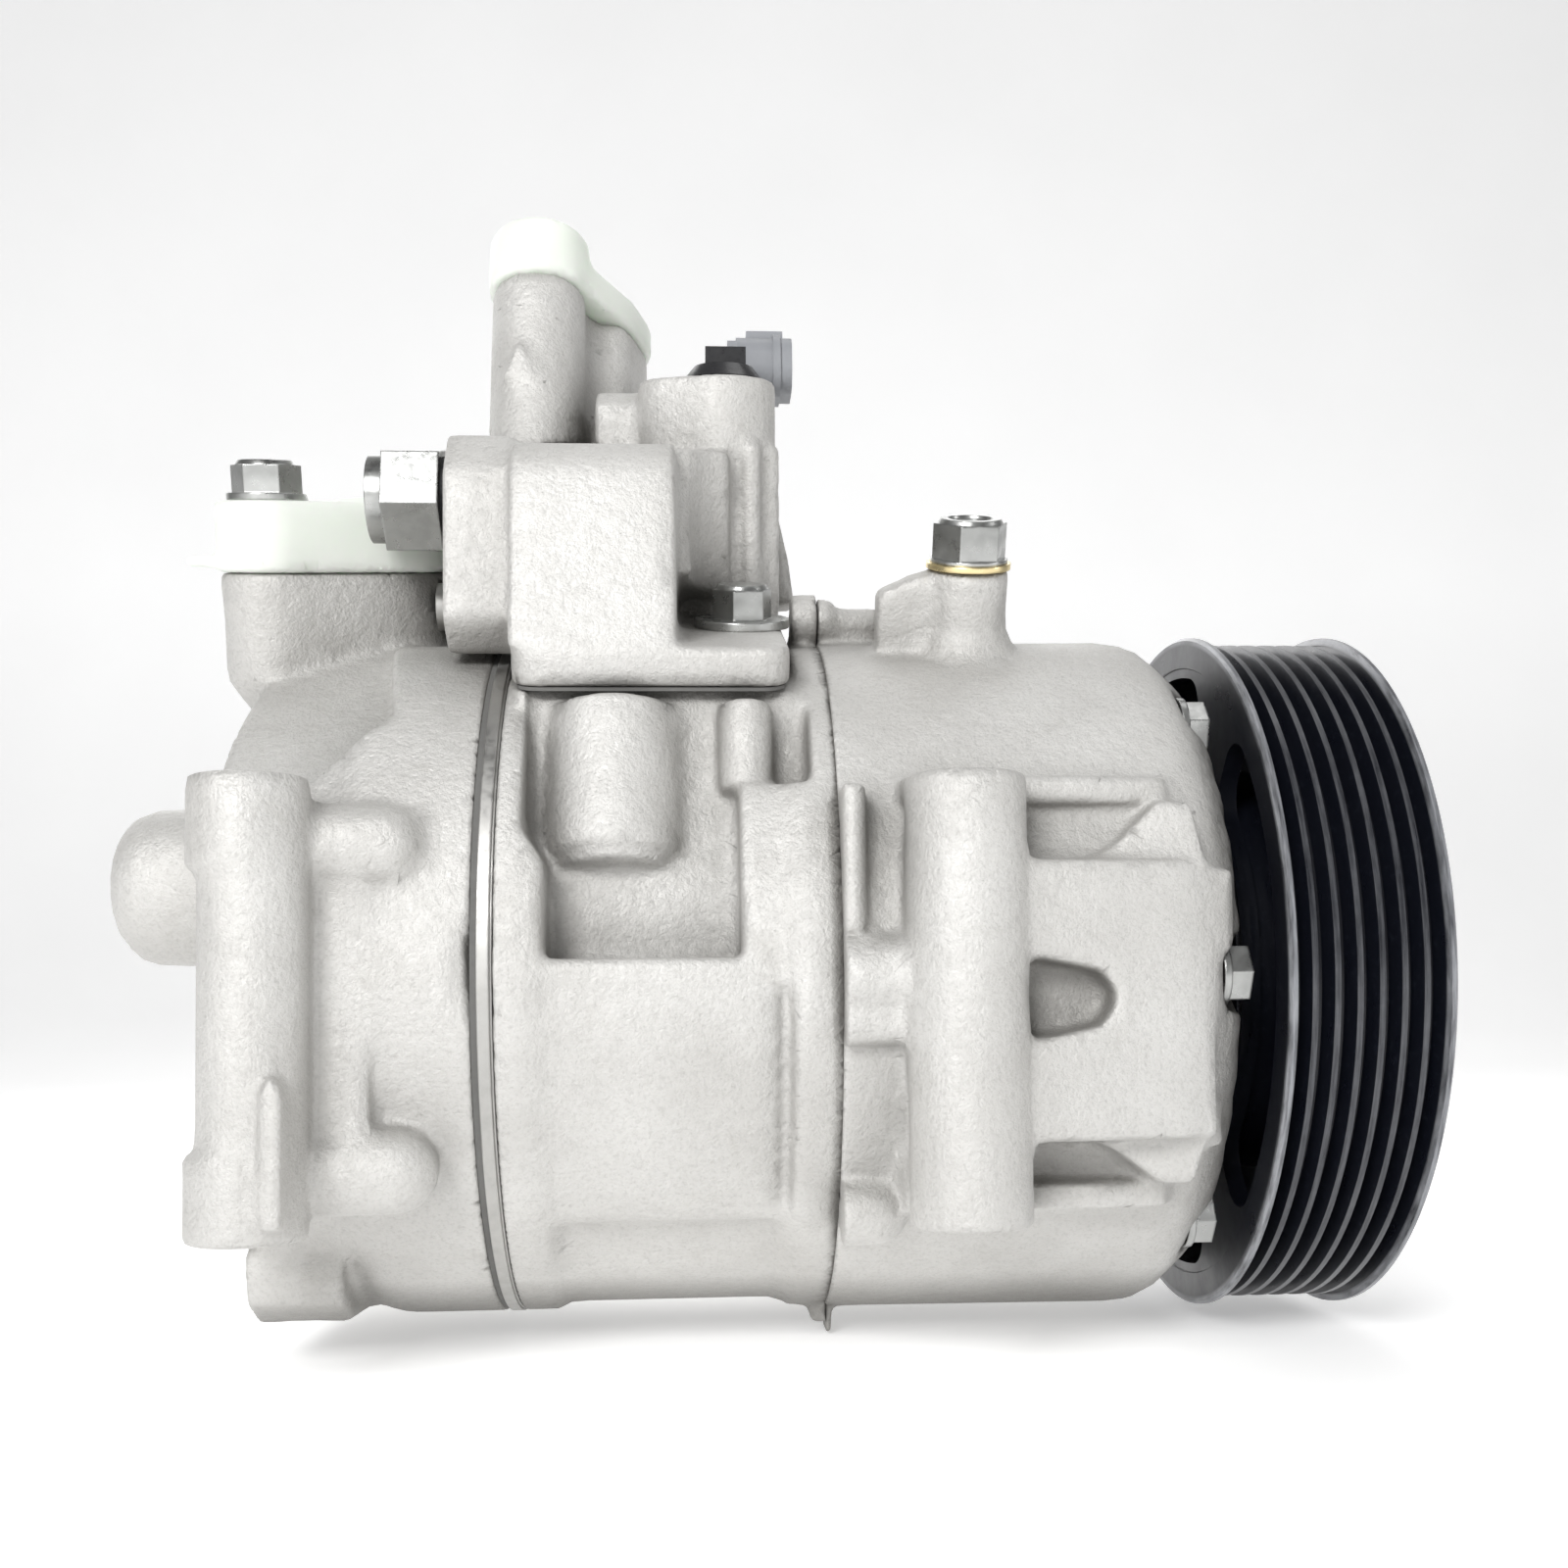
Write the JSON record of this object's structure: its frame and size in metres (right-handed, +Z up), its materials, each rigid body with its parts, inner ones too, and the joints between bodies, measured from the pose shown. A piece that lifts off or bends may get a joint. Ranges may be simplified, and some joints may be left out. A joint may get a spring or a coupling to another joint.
{
  "type": "automotive air-conditioning compressor",
  "caption": "Swash-plate car air-conditioning compressor with a ribbed belt pulley, cast housings, tall muffler with valve and ports, and bolt-through mounting lugs.",
  "frame": {"origin": "on the shaft axis, in the middle plane of the drive belt", "axes": "+X along the shaft towards the pulley's front, +Z up through the muffler and ports, -Y the viewed side with the lug tubes"},
  "size_m": [0.2342, 0.1458, 0.2107],
  "materials": {
    "cast_aluminium": "sand-cast, matt",
    "pulley_steel": "black paint, semi-gloss, worn rib tips",
    "hub_steel": "dark phosphate",
    "zinc_steel": "bright zinc plate",
    "ground_steel": "ground",
    "ball_steel": "polished",
    "spring_steel": "oiled spring steel",
    "plate_steel": "dark rolled steel",
    "piston_aluminium": "machined",
    "ring_ptfe": "bronze-filled slide ring, dark",
    "gasket_sheet": "rubber-coated sheet, matt",
    "seal_rubber": "moulded rubber",
    "washer_brass": "plain",
    "cap_plastic": "off-white, slightly translucent",
    "coil_plastic": "black, moulded",
    "socket_plastic": "grey, moulded",
    "pin_tin": "tinned"
  },
  "bodies": {
    "housing": {"bearing_clip": "spring_steel", "bearing_inner": "ground_steel", "check_valve_body": "piston_aluminium", "control_valve": "ground_steel", "cylinder_block": "cast_aluminium", "discharge_cap": "cap_plastic", "discharge_reed_plate": "plate_steel", "front_housing": "cast_aluminium", "front_needle_bearing": "ground_steel", "front_thrust_bearing": "ground_steel", "muffler_bolts": "zinc_steel", "muffler_gasket": "gasket_sheet", "muffler_housing": "cast_aluminium", "oil_plug": "zinc_steel", "oil_plug_washer": "washer_brass", "piston_rings": "ring_ptfe", "piston_shoes": "ground_steel", "pistons": "piston_aluminium", "rear_gasket": "gasket_sheet", "rear_housing": "cast_aluminium", "rear_needle_bearing": "ground_steel", "rear_thrust_bearing": "ground_steel", "reed_retainer": "plate_steel", "relief_spring": "spring_steel", "relief_valve": "zinc_steel", "relief_valve_seal": "seal_rubber", "seal_clip": "spring_steel", "seam_ring": "seal_rubber", "shaft_seal": "seal_rubber", "socket_pins": "pin_tin", "suction_cap": "cap_plastic", "suction_cap_bolt": "zinc_steel", "suction_reed_plate": "plate_steel", "through_bolts": "zinc_steel", "thrust_spring": "spring_steel", "transfer_ring": "seal_rubber", "transfer_tube": "plate_steel", "valve_clip": "spring_steel", "valve_coil_cap": "coil_plastic", "valve_plate": "plate_steel", "valve_seals": "seal_rubber", "valve_socket": "socket_plastic"},
    "shaft": {"drive_shaft": "ground_steel", "lug_plate": "ground_steel", "swash_plate": "ground_steel", "hinge_pin": "ground_steel", "tilt_spring": "spring_steel", "return_spring": "spring_steel", "pulley": "pulley_steel", "bearing_outer": "ground_steel", "bearing_balls": "ball_steel", "bearing_seals": "seal_rubber", "damper_ring": "seal_rubber", "limiter_plate": "hub_steel", "hub": "hub_steel", "hub_rivets": "zinc_steel", "hub_nut": "zinc_steel"},
    "relief": {"relief_poppet": "ground_steel"},
    "check": {"check_poppet": "ground_steel"},
    "rod": {"valve_rod": "ground_steel"}
  },
  "joints": [
    {"name": "shaft_spin", "type": "hinge", "parent": "housing", "child": "shaft", "pos_m": [0, 0, 0], "axis": [1, 0, 0], "continuous": true},
    {"name": "relief_lift", "type": "slide", "parent": "housing", "child": "relief", "axis": [-1, 0, 0], "range_m": [0, 0.0015], "stiffness_N_per_m": 8000, "springref_m": -0.004, "deforming": ["relief_spring"]},
    {"name": "check_lift", "type": "slide", "parent": "housing", "child": "check", "axis": [0, 0.225, 0.9744], "range_m": [0, 0.0048]},
    {"name": "valve_stroke", "type": "slide", "parent": "housing", "child": "rod", "axis": [0, -0.1908, 0.9816], "range_m": [0, 0.0015], "stiffness_N_per_m": 2000, "springref_m": -0.001}
  ]
}
